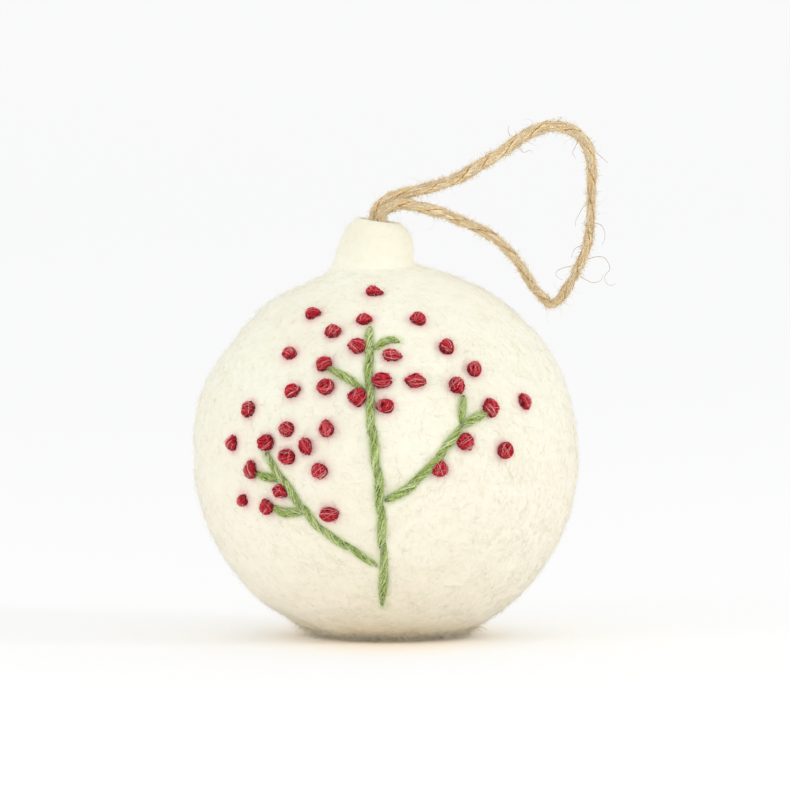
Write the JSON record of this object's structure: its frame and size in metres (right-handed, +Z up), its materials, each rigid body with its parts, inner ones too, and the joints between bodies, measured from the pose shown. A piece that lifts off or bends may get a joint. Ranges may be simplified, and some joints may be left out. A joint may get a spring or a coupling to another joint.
{
  "type": "felt christmas ornament",
  "caption": "Round felted wool ornament with a short felt neck, a hanging loop of twisted twine, and an embroidered sprig of red knotted berries on green stems.",
  "frame": {"origin": "middle of the flat foot that the ball stands on", "axes": "+Z up through the neck, the embroidered side faces -Y, +X to the right seen from that side"},
  "size_m": [0.0796, 0.077, 0.1017],
  "materials": {
    "ivory_felt": "felted wool",
    "wool_batting": "loose wool",
    "jute_twine": "twisted jute",
    "red_thread": "wool thread",
    "green_thread": "wool thread"
  },
  "bodies": {
    "ornament": {"wool_core": "wool_batting", "felt_shell": "ivory_felt", "felt_neck": "ivory_felt", "stopper_knot": "jute_twine", "stem_stitches": "green_thread", "right_branch_stitches": "green_thread", "left_branch_stitches": "green_thread", "right_twig_up": "green_thread", "right_twig_out": "green_thread", "left_twig_high": "green_thread", "left_twig_low": "green_thread", "crown_twig_left": "green_thread", "crown_twig_right": "green_thread", "berry_01": "red_thread", "berry_02": "red_thread", "berry_03": "red_thread", "berry_04": "red_thread", "berry_05": "red_thread", "berry_06": "red_thread", "berry_07": "red_thread", "berry_08": "red_thread", "berry_09": "red_thread", "berry_10": "red_thread", "berry_11": "red_thread", "berry_12": "red_thread", "berry_13": "red_thread", "berry_14": "red_thread", "berry_15": "red_thread", "berry_16": "red_thread", "berry_17": "red_thread", "berry_18": "red_thread", "berry_19": "red_thread", "berry_20": "red_thread", "berry_21": "red_thread", "berry_22": "red_thread", "berry_23": "red_thread", "berry_24": "red_thread", "berry_25": "red_thread", "berry_26": "red_thread", "berry_27": "red_thread", "berry_28": "red_thread", "berry_29": "red_thread", "berry_30": "red_thread", "berry_31": "red_thread", "berry_32": "red_thread", "berry_33": "red_thread", "berry_34": "red_thread", "berry_35": "red_thread", "berry_36": "red_thread"},
    "loop_root": {"twine_leg_back": "jute_twine", "twine_leg_front": "jute_twine"},
    "loop": {"hanging_loop": "jute_twine"}
  },
  "joints": [
    {"name": "loop_turn", "type": "hinge", "parent": "ornament", "child": "loop_root", "pos_m": [-0.0015, 0, 0.08348], "axis": [0, 0, 1], "range_deg": [-180, 180]},
    {"name": "loop_swing", "type": "hinge", "parent": "loop_root", "child": "loop", "pos_m": [-0.0015, 0, 0.08348], "axis": [0, 1, 0], "range_deg": [-115, 6]}
  ]
}
